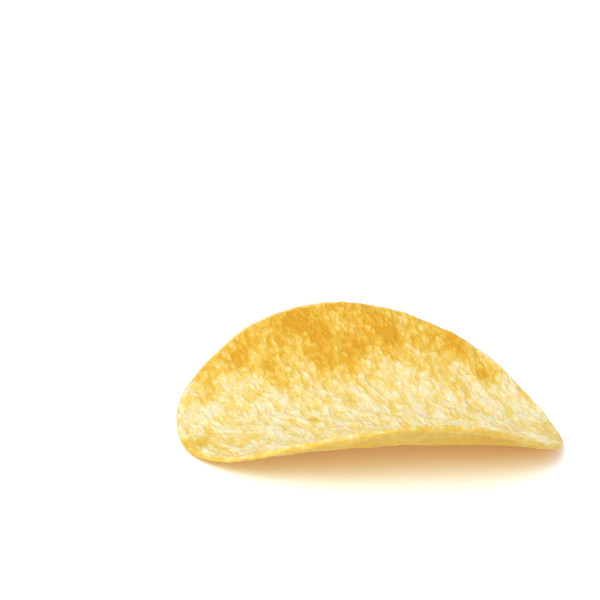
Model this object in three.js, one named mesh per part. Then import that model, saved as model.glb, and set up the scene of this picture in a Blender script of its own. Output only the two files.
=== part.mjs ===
// A stackable potato crisp: one oval sheet of fried potato dough, pressed over a saddle-shaped mould.
// The long sides curl up, the two ends droop a little, and both faces are blistered.
import * as THREE from "three";
import { ConvexHull } from "three/addons/math/ConvexHull.js";
import { ImprovedNoise } from "three/addons/math/ImprovedNoise.js";

// Driving dimensions, in millimetres. X runs along the crisp, Y across it and Z up.
const LENGTH = 65;
const WIDTH = 47;
const THICKNESS = 1.1;

// The saddle: how far its parts stand above or below the middle of the sheet.
const SIDE_RISE = 10.9;
const END_DROP = 2.2;

// No crisp comes out even: the fryer leaves a twist from corner to corner, ends that droop less on one side,
// and one long side that curls up more than the other.
const TWIST_HEIGHT = 0.8;
const END_BIAS = 1.1;
const SIDE_BIAS = 1.2;

// The outline is an ellipse whose cut edge wanders in and out a little.
const EDGE_WANDER = 0.35;
const EDGE_WANDER_SPACING = 12;

// The whole sheet buckles gently as it fries.
const BUCKLE_HEIGHT = 0.4;
const BUCKLE_SPACING = 14;

// Steam blisters: low domes over both faces, drawn out along the direction in which the dough was rolled.
// The underside lay against the mould, which kept its blisters flatter.
const BLISTER_HEIGHT = 0.4;
const BLISTER_SPACING = 3.2;
const BLISTER_STRETCH = 1.5;
const ROLLING_ANGLE = THREE.MathUtils.degToRad(-55);
const UNDERSIDE_SHARE = 0.5;

// Small wrinkles between the blisters.
const WRINKLE_HEIGHT = 0.2;
const WRINKLE_SPACING = 2.4;

// The mesh: rings of points round the middle, six more in each, and steps round the half-round edge.
const RINGS = 24;
const RING_SECTORS = 6;
const EDGE_STEPS = 4;

const HALF_THICKNESS = THICKNESS / 2;
const SKIN_HALF_LENGTH = LENGTH / 2 - HALF_THICKNESS;
const SKIN_HALF_WIDTH = WIDTH / 2 - HALF_THICKNESS;
const SLOPE_STEP = 0.01;

const noise = new ImprovedNoise();

// Each use of the three-dimensional noise reads its own layer of it, so that no two patterns are alike.
const NOISE_SEEDS = { buckle: 21.05, top: 7.3, underside: 13.7, wrinkle: 26.4, edge: 37.38 };

// The noise runs to about this much either side of zero.
const NOISE_PEAK = 0.6;

// Height of the sheet's middle layer above the saddle point.
function sheetHeight(x, y) {
  const u = x / (LENGTH / 2);
  const v = y / (WIDTH / 2);
  const saddle = SIDE_RISE * v * v - END_DROP * u * u;
  const unevenness = TWIST_HEIGHT * u * v + END_BIAS * u * u * v - SIDE_BIAS * v * v * v;
  const buckle = noise.noise(x / BUCKLE_SPACING, y / BUCKLE_SPACING, NOISE_SEEDS.buckle);
  return saddle + unevenness + BUCKLE_HEIGHT * buckle;
}

// Unit normal of the middle layer, pointing up.
function sheetNormal(x, y) {
  const rise = (dx, dy) => sheetHeight(x + dx, y + dy) - sheetHeight(x - dx, y - dy);
  const alongX = rise(SLOPE_STEP, 0) / (2 * SLOPE_STEP);
  const alongY = rise(0, SLOPE_STEP) / (2 * SLOPE_STEP);
  return new THREE.Vector3(-alongX, -alongY, 1).normalize();
}

// How far a face puffs out at a point. Only the crests of the blister noise rise, as domes with flats between.
function puff(x, y, seed) {
  const along = (x * Math.cos(ROLLING_ANGLE) + y * Math.sin(ROLLING_ANGLE)) / BLISTER_STRETCH;
  const across = y * Math.cos(ROLLING_ANGLE) - x * Math.sin(ROLLING_ANGLE);
  const blister = noise.noise(along / BLISTER_SPACING, across / BLISTER_SPACING, seed);
  const wrinkle = noise.noise(along / WRINKLE_SPACING, across / WRINKLE_SPACING, seed + NOISE_SEEDS.wrinkle);
  const dome = THREE.MathUtils.smoothstep(blister, 0, NOISE_PEAK);
  return BLISTER_HEIGHT * dome + (WRINKLE_HEIGHT / NOISE_PEAK / 2) * wrinkle;
}

// How far the cut edge stands out from its ellipse, as a share of the way from the middle.
function edgeReach(angle) {
  const laps = LENGTH / 2 / EDGE_WANDER_SPACING;
  const wander = noise.noise(laps * Math.cos(angle), laps * Math.sin(angle), NOISE_SEEDS.edge);
  return 1 + (EDGE_WANDER * wander) / (LENGTH / 2);
}

// A point of the solid. Reach is its share of the way out to the edge, and turn goes round the edge's half-round
// section: 0 on the upper face, half a turn on the underside.
function sheetPoint(angle, reach, turn) {
  const out = reach * edgeReach(angle);
  const bulge = HALF_THICKNESS * Math.sin(turn);
  const x = out * Math.cos(angle) * (SKIN_HALF_LENGTH + bulge);
  const y = out * Math.sin(angle) * (SKIN_HALF_WIDTH + bulge);
  const side = Math.cos(turn);
  const upper = (puff(x, y, NOISE_SEEDS.top) * (1 + side)) / 2;
  const lower = (UNDERSIDE_SHARE * puff(x, y, NOISE_SEEDS.underside) * (1 - side)) / 2;
  const offset = HALF_THICKNESS * side + upper - lower;
  return new THREE.Vector3(x, y, sheetHeight(x, y)).addScaledVector(sheetNormal(x, y), offset);
}

// One closed mesh: rings out over the upper face, round the edge, and back in under the underside.
function sheetGeometry() {
  const points = [];
  const triangles = [];

  const ring = (count, reach, turn) => {
    const indices = [];
    for (let i = 0; i < count; i++) {
      indices.push(points.length);
      points.push(sheetPoint((2 * Math.PI * i) / count, reach, turn));
    }
    return indices;
  };

  // A face's rings, from its single middle point out to the edge.
  const faceRings = (turn) => {
    const rings = [ring(1, 0, turn)];
    for (let k = 1; k <= RINGS; k++) rings.push(ring(RING_SECTORS * k, k / RINGS, turn));
    return rings;
  };

  const triangle = (a, b, c, upward) => triangles.push(...(upward ? [a, b, c] : [a, c, b]));

  // Fills between ring k, which has RING_SECTORS more points, and the ring inside it.
  const fillFace = (rings, upward) => {
    for (let k = 1; k <= RINGS; k++) {
      const outer = rings[k];
      const inner = rings[k - 1];
      for (let sector = 0; sector < RING_SECTORS; sector++) {
        for (let i = 0; i < k; i++) {
          const a = outer[sector * k + i];
          const b = outer[(sector * k + i + 1) % outer.length];
          const c = inner[(sector * (k - 1) + i) % inner.length];
          triangle(c, a, b, upward);
          if (i < k - 1) triangle(c, b, inner[(sector * (k - 1) + i + 1) % inner.length], upward);
        }
      }
    }
  };

  // Fills between two rings of as many points, the second further round the edge.
  const fillEdge = (first, second) => {
    for (let i = 0; i < first.length; i++) {
      const next = (i + 1) % first.length;
      triangle(first[i], second[i], second[next], true);
      triangle(first[i], second[next], first[next], true);
    }
  };

  const upper = faceRings(0);
  const lower = faceRings(Math.PI);
  const edge = [upper[RINGS]];
  for (let step = 1; step < EDGE_STEPS; step++) {
    edge.push(ring(RING_SECTORS * RINGS, 1, (Math.PI * step) / EDGE_STEPS));
  }
  edge.push(lower[RINGS]);

  fillFace(upper, true);
  fillFace(lower, false);
  for (let step = 0; step < EDGE_STEPS; step++) fillEdge(edge[step], edge[step + 1]);

  return new THREE.BufferGeometry().setFromPoints(points).setIndex(triangles);
}

// Centre of mass of a closed mesh, summed over the tetrahedra that its triangles make with the origin.
function centreOfMass(geometry) {
  const position = geometry.getAttribute("position");
  const corner = (i) => new THREE.Vector3().fromBufferAttribute(position, geometry.index.getX(i));
  const sum = new THREE.Vector3();
  let volume = 0;
  for (let i = 0; i < geometry.index.count; i += 3) {
    const [a, b, c] = [corner(i), corner(i + 1), corner(i + 2)];
    const tetrahedron = a.dot(b.clone().cross(c)) / 6;
    volume += tetrahedron;
    sum.addScaledVector(a.add(b).add(c), tetrahedron / 4);
  }
  return sum.divideScalar(volume);
}

// Whether a straight line down the face's normal from a point passes through the face.
function carries(face, point) {
  const [a, b, c] = [face.edge.prev, face.edge, face.edge.next].map((edge) => edge.head().point);
  const foot = new THREE.Vector3();
  new THREE.Plane().setFromCoplanarPoints(a, b, c).projectPoint(point, foot);
  return new THREE.Triangle(a, b, c).containsPoint(foot);
}

// Sets the crisp down as it comes to rest, on the three points of its edge that lie below its centre of mass.
function setDown(geometry) {
  const position = geometry.getAttribute("position");
  const points = Array.from({ length: position.count }, (_, i) =>
    new THREE.Vector3().fromBufferAttribute(position, i),
  );
  const centre = centreOfMass(geometry);
  const down = new THREE.Vector3(0, 0, -1);
  const feet = new ConvexHull()
    .setFromPoints(points)
    .faces.filter((face) => carries(face, centre))
    .sort((one, other) => other.normal.dot(down) - one.normal.dot(down))[0];
  geometry.applyQuaternion(new THREE.Quaternion().setFromUnitVectors(feet.normal, down));
  geometry.computeBoundingBox();
  const box = geometry.boundingBox;
  geometry.translate(-(box.min.x + box.max.x) / 2, -(box.min.y + box.max.y) / 2, -box.min.z);
}

function makeCrisp() {
  const geometry = sheetGeometry();
  setDown(geometry);
  geometry.computeVertexNormals();
  const friedDough = new THREE.MeshStandardMaterial({ color: 0xf3cf78, roughness: 0.62, metalness: 0 });
  const mesh = new THREE.Mesh(geometry, friedDough);
  mesh.name = "crisp";
  return mesh;
}

const part = new THREE.Group();
part.add(makeCrisp());

export default part;
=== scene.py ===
import math
import bpy
from mathutils import Matrix, Vector


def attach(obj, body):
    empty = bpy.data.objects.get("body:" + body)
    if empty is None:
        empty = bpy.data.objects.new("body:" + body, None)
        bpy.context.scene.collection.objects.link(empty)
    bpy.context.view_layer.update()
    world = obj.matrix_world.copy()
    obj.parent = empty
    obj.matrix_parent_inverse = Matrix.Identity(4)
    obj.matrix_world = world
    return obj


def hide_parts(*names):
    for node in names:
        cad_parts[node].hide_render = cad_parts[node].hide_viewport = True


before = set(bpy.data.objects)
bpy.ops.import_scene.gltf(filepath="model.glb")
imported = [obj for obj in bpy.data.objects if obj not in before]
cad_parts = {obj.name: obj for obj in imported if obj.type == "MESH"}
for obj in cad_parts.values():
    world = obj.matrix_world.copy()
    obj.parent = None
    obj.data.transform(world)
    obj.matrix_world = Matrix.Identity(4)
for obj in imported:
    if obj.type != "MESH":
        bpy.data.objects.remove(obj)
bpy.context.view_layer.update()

# The sheet: potato dough, rolled thin, cut to an oval, pressed over a saddle-shaped mould and fried.
# The solid gives it its curve, its rounded edge and its coarse blisters. The hot oil also raised finer
# pebbles on both faces, drawn out in the direction in which the dough was rolled.

MM = 0.001
WELD_DISTANCE = 0.002 * MM
SMOOTHING_LEVEL = 2
ROLLING_ANGLE = math.radians(-80)
ROLLING_STRETCH = 1.5
PEBBLE_SPACING = 1.3 * MM
PEBBLE_HEIGHT = 0.25 * MM
PEBBLE_WANDER_DETAIL = 1.0
PEBBLE_SMOOTHNESS = 0.5
WRINKLE_SPACING = 2.6 * MM
WRINKLE_HEIGHT = 0.22 * MM
WRINKLE_DETAIL = 3.0

# Where a pebble's crown ends and the crease round it begins, in spacings from the pebble's middle.
CROWN_END = 0.12
CREASE_START = 0.72

# Nearly all of a noise lies between these two values.
NOISE_LOW = 0.3
NOISE_HIGH = 0.7
NOISE_ROUGHNESS = 0.6

# The upper face begins where a normal points up this far. The underside's normals point down.
UPPER_FACE_FROM = 0.5

# The underside lay on the mould, which kept most of the relief off it.
UNDERSIDE_SHARE = 0.3


def add_node(tree, kind, inputs, **settings):
    """Adds a node to a tree. Each input is named or numbered, and takes a value or another node's socket."""
    node = tree.nodes.new(kind)
    for name, value in settings.items():
        setattr(node, name, value)
    for key, value in inputs.items():
        if isinstance(value, bpy.types.NodeSocket):
            tree.links.new(value, node.inputs[key])
        else:
            node.inputs[key].default_value = value
    return node


def rolled_place(tree, place):
    """A place on the sheet, turned and drawn out along the rolling direction."""
    turned = add_node(
        tree, "ShaderNodeVectorRotate", {"Vector": place, "Angle": -ROLLING_ANGLE}, rotation_type="Z_AXIS"
    )
    return add_node(
        tree, "ShaderNodeVectorMath", {0: turned.outputs[0], 1: (ROLLING_STRETCH, 1, 1)}, operation="DIVIDE"
    ).outputs[0]


def pebbles(tree, grain, scale):
    """How far pebbles rise at a place, from 0 in the creases between them to 1 on their crowns."""
    place = add_node(tree, "ShaderNodeVectorMath", {0: grain, "Scale": scale}, operation="SCALE").outputs[0]
    wander = add_node(
        tree, "ShaderNodeTexNoise", {"Vector": place, "Scale": 1.0, "Detail": PEBBLE_WANDER_DETAIL}
    )
    bent = add_node(tree, "ShaderNodeVectorMath", {0: wander.outputs["Color"], 1: place}, operation="ADD")
    cells = add_node(
        tree,
        "ShaderNodeTexVoronoi",
        {"Vector": bent.outputs[0], "Scale": 1.0, "Smoothness": PEBBLE_SMOOTHNESS},
        feature="SMOOTH_F1",
    )
    return add_node(
        tree,
        "ShaderNodeMapRange",
        {"Value": cells.outputs["Distance"], "From Min": CREASE_START, "From Max": CROWN_END},
        interpolation_type="SMOOTHSTEP",
    ).outputs[0]


def mottle(tree, grain, scale, detail):
    """How strong an uneven pattern is at a place, from 0 to 1."""
    noise = add_node(
        tree,
        "ShaderNodeTexNoise",
        {"Vector": grain, "Scale": scale, "Detail": detail, "Roughness": NOISE_ROUGHNESS},
    )
    return add_node(
        tree,
        "ShaderNodeMapRange",
        {"Value": noise.outputs[0], "From Min": NOISE_LOW, "From Max": NOISE_HIGH},
    ).outputs[0]


def wrinkles(tree, grain, scale):
    """How far the wrinkles between the pebbles rise at a place, from 0 to 1."""
    return mottle(tree, grain, scale, WRINKLE_DETAIL)


def merged_copy(node_name, name):
    """A copy of a solid's mesh, whose loose triangles a weld joins."""
    sheet = bpy.data.objects.new(name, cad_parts[node_name].data.copy())
    bpy.context.scene.collection.objects.link(sheet)
    weld = sheet.modifiers.new("weld", "WELD")
    weld.merge_threshold = WELD_DISTANCE
    return sheet


def fried_relief_tree(material):
    """Geometry Nodes that smooth the sheet and press the creases between its pebbles into it."""
    tree = bpy.data.node_groups.new("fried relief", "GeometryNodeTree")
    tree.interface.new_socket("Geometry", in_out="INPUT", socket_type="NodeSocketGeometry")
    for name in ("Pebble spacing", "Pebble height", "Wrinkle spacing", "Wrinkle height", "Underside share"):
        tree.interface.new_socket(name, in_out="INPUT", socket_type="NodeSocketFloat")
    tree.interface.new_socket("Geometry", in_out="OUTPUT", socket_type="NodeSocketGeometry")
    given = tree.nodes.new("NodeGroupInput").outputs

    smooth = add_node(tree, "GeometryNodeSubdivisionSurface", {0: given["Geometry"], 1: SMOOTHING_LEVEL})
    normal = add_node(tree, "GeometryNodeInputNormal", {}).outputs[0]
    grain = rolled_place(tree, add_node(tree, "GeometryNodeInputPosition", {}).outputs[0])

    # The creases are pressed in from the smooth sheet, so that the crisp stays inside its solid's box.
    depth = 0.0
    for name, pattern in (("Pebble", pebbles), ("Wrinkle", wrinkles)):
        scale = add_node(tree, "ShaderNodeMath", {0: 1.0, 1: given[name + " spacing"]}, operation="DIVIDE")
        rise = pattern(tree, grain, scale.outputs[0])
        below = add_node(tree, "ShaderNodeMath", {0: rise, 1: 1.0}, operation="SUBTRACT")
        depth = add_node(
            tree,
            "ShaderNodeMath",
            {0: below.outputs[0], 1: given[name + " height"], 2: depth},
            operation="MULTIPLY_ADD",
        ).outputs[0]

    # The upper face takes all of the relief, and the underside its share.
    upward = add_node(tree, "ShaderNodeSeparateXYZ", {0: normal}).outputs["Z"]
    upper = add_node(tree, "ShaderNodeMapRange", {"Value": upward, "From Max": UPPER_FACE_FROM}).outputs[0]
    share = add_node(tree, "ShaderNodeMapRange", {"Value": upper, "To Min": given["Underside share"]})
    shared = add_node(tree, "ShaderNodeMath", {0: depth, 1: share.outputs[0]}, operation="MULTIPLY")
    offset = add_node(
        tree, "ShaderNodeVectorMath", {0: normal, "Scale": shared.outputs[0]}, operation="SCALE"
    )

    # The material needs to know which face is which, so the mesh keeps that.
    kept = add_node(
        tree,
        "GeometryNodeStoreNamedAttribute",
        {"Geometry": smooth.outputs[0], "Name": "upper", "Value": upper},
        data_type="FLOAT",
        domain="POINT",
    )
    pressed = add_node(
        tree, "GeometryNodeSetPosition", {"Geometry": kept.outputs[0], "Offset": offset.outputs[0]}
    )
    shaded = add_node(tree, "GeometryNodeSetShadeSmooth", {0: pressed.outputs[0]})
    real = add_node(tree, "GeometryNodeRealizeInstances", {0: shaded.outputs[0]})
    coated = add_node(tree, "GeometryNodeSetMaterial", {"Geometry": real.outputs[0], "Material": material})
    add_node(tree, "NodeGroupOutput", {0: coated.outputs[0]})
    return tree


def set_modifier_inputs(modifier, values):
    """Sets a Geometry Nodes modifier's inputs by their sockets' identifiers."""
    for item in modifier.node_group.interface.items_tree:
        if item.item_type == "SOCKET" and item.in_out == "INPUT" and item.name in values:
            modifier[item.identifier] = values[item.name]


def plain_mesh(piece):
    """What an object's modifiers make, as a mesh of its own."""
    evaluated = piece.evaluated_get(bpy.context.evaluated_depsgraph_get())
    return bpy.data.meshes.new_from_object(evaluated)


# The sheet's browning: how far the dough has gone from cream to toasted, from 0 to 1.
# Each spot is its middle in mm along and across the crisp, its radius in mm, and how much it adds.

BROWNED_SPOTS = (
    (-5.5, 19.8, 2.3, 0.28),
    (-3, 18.6, 1.6, 0.34),
    (4.8, 20, 1.8, 0.28),
    (8.6, 17.5, 1.9, 0.42),
    (-8, 21.8, 2.6, 0.24),
    (0.3, 14, 2.4, 0.32),
    (-3.6, 13.6, 2.2, 0.32),
    (2.8, 15.6, 1.6, 0.22),
    (-14, 13.4, 1.6, 0.25),
    (-18, 15.4, 1.7, 0.2),
    (-25, 8.5, 1.5, 0.18),
    (-11, 10, 1.4, 0.2),
    (-10.5, 6.4, 1.1, 0.22),
    (-9.4, 1, 1.0, 0.24),
    (-1.6, 5.4, 1.3, 0.22),
    (-25.5, -3, 2.2, 0.18),
    (-29, -1.5, 1.6, 0.18),
    (20.5, 15.6, 1.8, 0.26),
    (23, 10, 1.8, 0.22),
    (17, 7.6, 1.6, 0.22),
    (18, 2.2, 0.9, 0.26),
    (30, -1, 1.6, 0.2),
    (30, -5, 3.5, 0.14),
    (-31, -3, 3.5, 0.14),
    (-27, -9, 4, 0.1),
    (-9, -18, 2.2, 0.26),
    (4, -20, 2, 0.2),
    (12, -19.5, 4, 0.6),
    (7, -16, 1.6, 0.24),
    (17, -15, 2, 0.22),
)

# A spot has faded to nothing at this many radii from its middle.
SPOT_REACH = 3

# The raised sides browned most. Each side's browning begins at one place across the crisp and is full at
# the other, in mm.
BROWNED_SIDES = 0.33
FAR_SIDE = (7.5, 16.5)
NEAR_SIDE = (-11, -20)

# The rim, as shares of the way from the middle out to the edge of the sheet, whose half sizes are in mm.
# Along the far side it is painted pale, a painted highlight on the edge, and along the near side it browned.
HALF_LENGTH = 32.3
HALF_WIDTH = 23.4
RIM_START = 0.965
RIM_FULL = 0.9825
FAR_RIM_PAINTED_HIGHLIGHT = -0.08
NEAR_RIM = 0.14


def share_of_way(value, start, end):
    """How far a value has come from start to end, from 0 to 1."""
    return min(max((value - start) / (end - start), 0), 1)


def brown(mesh):
    """Writes how browned each point of the sheet is: more up its raised sides, most in the spots, and a
    painted highlight on the far rim.
    """
    attribute = mesh.attributes.new("browning", "FLOAT", "POINT")
    for point, value in zip(mesh.vertices, attribute.data):
        x, y = point.co.x / MM, point.co.y / MM
        browning = BROWNED_SIDES * max(share_of_way(y, *FAR_SIDE), share_of_way(y, *NEAR_SIDE))
        for spot_x, spot_y, radius, added in BROWNED_SPOTS:
            radii_squared = ((x - spot_x) ** 2 + (y - spot_y) ** 2) / radius**2
            if radii_squared < SPOT_REACH**2:
                browning += added * math.exp(-radii_squared)
        rim = share_of_way(math.hypot(x / HALF_LENGTH, y / HALF_WIDTH), RIM_START, RIM_FULL)
        # Along the far rim the browning gives way to a painted highlight.
        value.value = browning * (1 - rim) + (FAR_RIM_PAINTED_HIGHLIGHT if y > 0 else NEAR_RIM) * rim


def linear(hex_colour):
    """A hex colour, which is sRGB, as linear red, green, blue and full alpha."""
    parts = (int(hex_colour[i : i + 2], 16) / 255 for i in (1, 3, 5))
    return (*(c / 12.92 if c <= 0.04045 else ((c + 0.055) / 1.055) ** 2.4 for c in parts), 1.0)


# The sheet's dough: its colour from barely fried, at 0, to toasted, at 1.
# Each face has a browning of its own, to which the spots and the patterns add.
DOUGH_COLOURS = (
    (0.0, "#FCEFD5"),
    (0.25, "#FAE6B3"),
    (0.5, "#F0D26E"),
    (0.75, "#E5BB32"),
    (1.0, "#DFA712"),
)
UNDERSIDE_BROWNING = 0.47
UPPER_BROWNING = 0.21
UNDERSIDE_PATTERN = 0.5

# Patches of a few millimetres fried faster than others, by this much either way.
PATCH_SIZE = 3.1 * MM
PATCH_DETAIL = 4.0
PATCH_BROWNING = 0.18

# Grains lie on the pebbles, and flakes of potato show in the dough.
GRAIN_SPACING = 0.7 * MM
GRAIN_HEIGHT = 0.14 * MM
FLAKE_SIZE = 0.3 * MM
FLAKE_DETAIL = 2.0
FLAKE_HEIGHT_SHARE = 0.17

# What each fine pattern adds to the browning in its creases, and on its crowns. For the pebbles, wrinkles
# and grains this is partly the dough's own colour and partly painted: painted shade in the creases and a
# painted highlight on the crowns.
PEBBLE_BROWNING_AND_PAINTED_SHADE = (0.14, -0.06)
WRINKLE_BROWNING_AND_PAINTED_SHADE = (0.08, -0.08)
GRAIN_BROWNING_AND_PAINTED_SHADE = (0.11, -0.05)
FLAKE_BROWNING = (-0.07, 0.07)

# The fine patterns are this much stronger where the browning has reached this much.
STRONG_PATTERN = 1.25
STRONG_PATTERN_AT = 0.4

# A thin film of oil lies on the dough, and is glossier where it browned.
CREAM_ROUGHNESS = 0.66
TOASTED_ROUGHNESS = 0.46
DOUGH_IOR = 1.45
DOUGH_SPECULAR = 0.35

# Light passes into the dough by about this far, red the furthest.
LIGHT_REACH = 0.8 * MM
LIGHT_REACH_BY_COLOUR = (1.0, 0.5, 0.1)


def fried_dough():
    """Fried potato dough: matt and pebbled, cream where it puffed up and golden in its creases, in part as
    painted highlight and painted shade.
    """
    material = bpy.data.materials.new("fried potato dough")
    material.use_nodes = True
    tree = material.node_tree
    shader = tree.nodes["Principled BSDF"]
    grain = rolled_place(tree, add_node(tree, "ShaderNodeTexCoord", {}).outputs["Object"])
    browned = add_node(tree, "ShaderNodeAttribute", {}, attribute_name="browning").outputs["Fac"]
    upper = add_node(tree, "ShaderNodeAttribute", {}, attribute_name="upper").outputs["Fac"]

    grains = pebbles(tree, grain, 1 / GRAIN_SPACING)
    flakes = mottle(tree, grain, 1 / FLAKE_SIZE, FLAKE_DETAIL)
    fine = 0.0
    # The creases of the pebbles, wrinkles and grains take painted shade, and their crowns a painted
    # highlight.
    for pattern, (in_creases, on_crowns) in (
        (pebbles(tree, grain, 1 / PEBBLE_SPACING), PEBBLE_BROWNING_AND_PAINTED_SHADE),
        (wrinkles(tree, grain, 1 / WRINKLE_SPACING), WRINKLE_BROWNING_AND_PAINTED_SHADE),
        (grains, GRAIN_BROWNING_AND_PAINTED_SHADE),
        (flakes, FLAKE_BROWNING),
    ):
        added = add_node(
            tree, "ShaderNodeMapRange", {"Value": pattern, "To Min": in_creases, "To Max": on_crowns}
        )
        fine = add_node(tree, "ShaderNodeMath", {0: fine, 1: added.outputs[0]}, operation="ADD").outputs[0]
    contrast = add_node(
        tree,
        "ShaderNodeMapRange",
        {"Value": browned, "From Max": STRONG_PATTERN_AT, "To Min": 1.0, "To Max": STRONG_PATTERN},
    )

    patches = add_node(
        tree,
        "ShaderNodeMapRange",
        {
            "Value": mottle(tree, grain, 1 / PATCH_SIZE, PATCH_DETAIL),
            "To Min": -PATCH_BROWNING,
            "To Max": PATCH_BROWNING,
        },
    )
    coarse = add_node(tree, "ShaderNodeMath", {0: browned, 1: patches.outputs[0]}, operation="ADD")
    uneven = add_node(
        tree,
        "ShaderNodeMath",
        {0: fine, 1: contrast.outputs[0], 2: coarse.outputs[0]},
        operation="MULTIPLY_ADD",
    )

    # The underside fried against the mould, so it is more evenly golden.
    even = add_node(
        tree,
        "ShaderNodeMapRange",
        {"Value": upper, "To Min": UNDERSIDE_BROWNING, "To Max": UPPER_BROWNING},
    )
    share = add_node(tree, "ShaderNodeMapRange", {"Value": upper, "To Min": UNDERSIDE_PATTERN})
    browning = add_node(
        tree,
        "ShaderNodeMath",
        {0: uneven.outputs[0], 1: share.outputs[0], 2: even.outputs[0]},
        operation="MULTIPLY_ADD",
    ).outputs[0]
    colour = add_node(tree, "ShaderNodeValToRGB", {"Fac": browning})
    stops = colour.color_ramp.elements
    while len(stops) < len(DOUGH_COLOURS):
        stops.new(0.5)
    for stop, (position, hex_colour) in zip(stops, DOUGH_COLOURS):
        stop.position = position
        stop.color = linear(hex_colour)
    tree.links.new(colour.outputs[0], shader.inputs["Base Color"])

    rough = add_node(
        tree, "ShaderNodeMath", {0: flakes, 1: FLAKE_HEIGHT_SHARE, 2: grains}, operation="MULTIPLY_ADD"
    )
    bump = add_node(
        tree, "ShaderNodeBump", {"Strength": 1.0, "Distance": GRAIN_HEIGHT, "Height": rough.outputs[0]}
    )
    tree.links.new(bump.outputs[0], shader.inputs["Normal"])

    oil = add_node(
        tree,
        "ShaderNodeMapRange",
        {"Value": browning, "To Min": CREAM_ROUGHNESS, "To Max": TOASTED_ROUGHNESS},
    )
    tree.links.new(oil.outputs[0], shader.inputs["Roughness"])
    shader.inputs["IOR"].default_value = DOUGH_IOR
    shader.inputs["Specular IOR Level"].default_value = DOUGH_SPECULAR
    shader.inputs["Subsurface Weight"].default_value = 1.0
    shader.inputs["Subsurface Radius"].default_value = LIGHT_REACH_BY_COLOUR
    shader.inputs["Subsurface Scale"].default_value = LIGHT_REACH
    return material


sheet = merged_copy("crisp", "crisp_sheet")
relief = sheet.modifiers.new("fried relief", "NODES")
relief.node_group = fried_relief_tree(fried_dough())
set_modifier_inputs(
    relief,
    {
        "Pebble spacing": PEBBLE_SPACING,
        "Pebble height": PEBBLE_HEIGHT,
        "Wrinkle spacing": WRINKLE_SPACING,
        "Wrinkle height": WRINKLE_HEIGHT,
        "Underside share": UNDERSIDE_SHARE,
    },
)
fried_mesh = plain_mesh(sheet)
sheet.modifiers.clear()
sheet.data = fried_mesh
brown(fried_mesh)
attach(sheet, "root")
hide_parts("crisp")


# The table: plain white paper, laid flat, which reaches well past the picture.
# As a background it is seen brighter than it is, past white, with a golden glow added as painted light.
# So the floor is plain white, and the crisp's shadow is painted golden, standing for the light that
# passes through fried dough.

PAPER = linear("#F4F4F4")
SEEN_PAPER = (0.75, 1.15, 1.35, 1.0)
PAINTED_GOLDEN_SHADOW = (0.42, 0.11, 0.0, 1.0)
TABLE_HALF_WIDTH = 3.0


def background_share(tree):
    """1 for a ray that shows the background, straight or by way of gloss or glass, and 0 for other rays."""
    ray = add_node(tree, "ShaderNodeLightPath", {}).outputs
    share = ray["Is Camera Ray"]
    for way in ("Is Glossy Ray", "Is Transmission Ray"):
        share = add_node(tree, "ShaderNodeMath", {0: share, 1: ray[way]}, operation="MAXIMUM").outputs[0]
    return share


def white_paper():
    """Matt white paper, which shows no texture at this distance, only the shadow that falls on it, painted
    golden.
    """
    material = bpy.data.materials.new("white paper")
    material.use_nodes = True
    tree = material.node_tree
    tree.nodes.remove(tree.nodes["Principled BSDF"])
    plain = add_node(tree, "ShaderNodeBsdfDiffuse", {"Color": PAPER})
    bright = add_node(tree, "ShaderNodeBsdfDiffuse", {"Color": SEEN_PAPER})
    # A golden glow painted into the crisp's shadow: where the paper is lit it is already past white, and the
    # glow is lost.
    golden = add_node(tree, "ShaderNodeEmission", {"Color": PAINTED_GOLDEN_SHADOW, "Strength": 1.0})
    both = add_node(tree, "ShaderNodeAddShader", {0: bright.outputs[0], 1: golden.outputs[0]})
    shown = add_node(
        tree, "ShaderNodeMixShader", {0: background_share(tree), 1: plain.outputs[0], 2: both.outputs[0]}
    )
    tree.links.new(shown.outputs[0], tree.nodes["Material Output"].inputs["Surface"])
    return material


table_corners = [Vector((x, y, 0)) * TABLE_HALF_WIDTH for x, y in ((-1, -1), (1, -1), (1, 1), (-1, 1))]
table_mesh = bpy.data.meshes.new("table")
table_mesh.from_pydata(table_corners, [], [(0, 1, 2, 3)])
table_mesh.materials.append(white_paper())
table = bpy.data.objects.new("table", table_mesh)
bpy.context.scene.collection.objects.link(table)


# The light: a soft box in front and to the left, halfway up, which keeps the shadow close under the crisp,
# and a white room all round. Sizes and places are in metres, and the power is in watts.

KEY_SIZE = 0.42
KEY_POWER = 6.6
KEY_PLACE = Vector((-0.5, -0.5, 0.74))
ROOM_STRENGTH = 0.6

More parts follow.
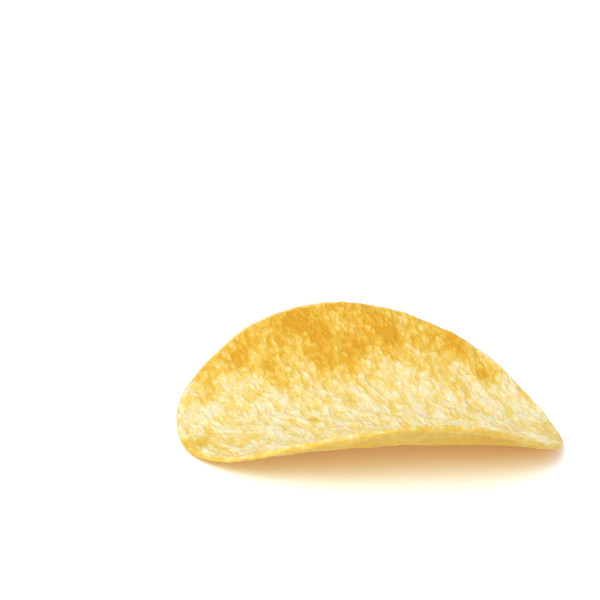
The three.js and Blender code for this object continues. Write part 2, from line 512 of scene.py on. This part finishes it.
key_data = bpy.data.lights.new("soft box", "AREA")
key_data.size = KEY_SIZE
key_data.energy = KEY_POWER
key = bpy.data.objects.new("soft box", key_data)
key.location = KEY_PLACE
key.rotation_euler = (-KEY_PLACE).to_track_quat("-Z", "Y").to_euler()
bpy.context.scene.collection.objects.link(key)

world = bpy.data.worlds.new("white room")
world.use_nodes = True
room = world.node_tree
strength = add_node(room, "ShaderNodeMapRange", {"Value": background_share(room), "To Min": ROOM_STRENGTH})
room.links.new(strength.outputs[0], room.nodes["Background"].inputs["Strength"])
room.nodes["Background"].inputs["Color"].default_value = linear("#FFFFFF")
bpy.context.scene.world = world


# The camera: as in the photograph, from a little above, round to the left and turned a little clockwise.
# It stands 900 mm away, and the crisp's middle falls on the same pixel as there.

PHOTO_WIDTH = 600
SENSOR_WIDTH = 36
CAMERA_AZIMUTH = math.radians(-24.25)
CAMERA_ELEVATION = math.radians(28.5)
CAMERA_ROLL = math.radians(10.1)
CAMERA_DISTANCE = 900
PIXELS_PER_MILLIMETRE = 6.21
CRISP_MIDDLE = Vector((0, 0, 2.2 * MM))
CRISP_MIDDLE_PIXEL = (370.2, 423.1)

camera_data = bpy.data.cameras.new("camera")
camera_data.sensor_width = SENSOR_WIDTH
camera_data.lens = PIXELS_PER_MILLIMETRE * CAMERA_DISTANCE * SENSOR_WIDTH / PHOTO_WIDTH
camera = bpy.data.objects.new("camera", camera_data)
turn = (
    Matrix.Rotation(CAMERA_AZIMUTH, 4, "Z")
    @ Matrix.Rotation(math.pi / 2 - CAMERA_ELEVATION, 4, "X")
    @ Matrix.Rotation(CAMERA_ROLL, 4, "Z")
)
to_right, to_below = ((p - PHOTO_WIDTH / 2) / PIXELS_PER_MILLIMETRE for p in CRISP_MIDDLE_PIXEL)
crisp_from_camera = Vector((to_right, -to_below, -CAMERA_DISTANCE)) * MM
camera.matrix_world = Matrix.Translation(CRISP_MIDDLE - turn.to_3x3() @ crisp_from_camera) @ turn
bpy.context.scene.collection.objects.link(camera)
bpy.context.scene.camera = camera
bpy.context.scene.view_settings.view_transform = "Standard"
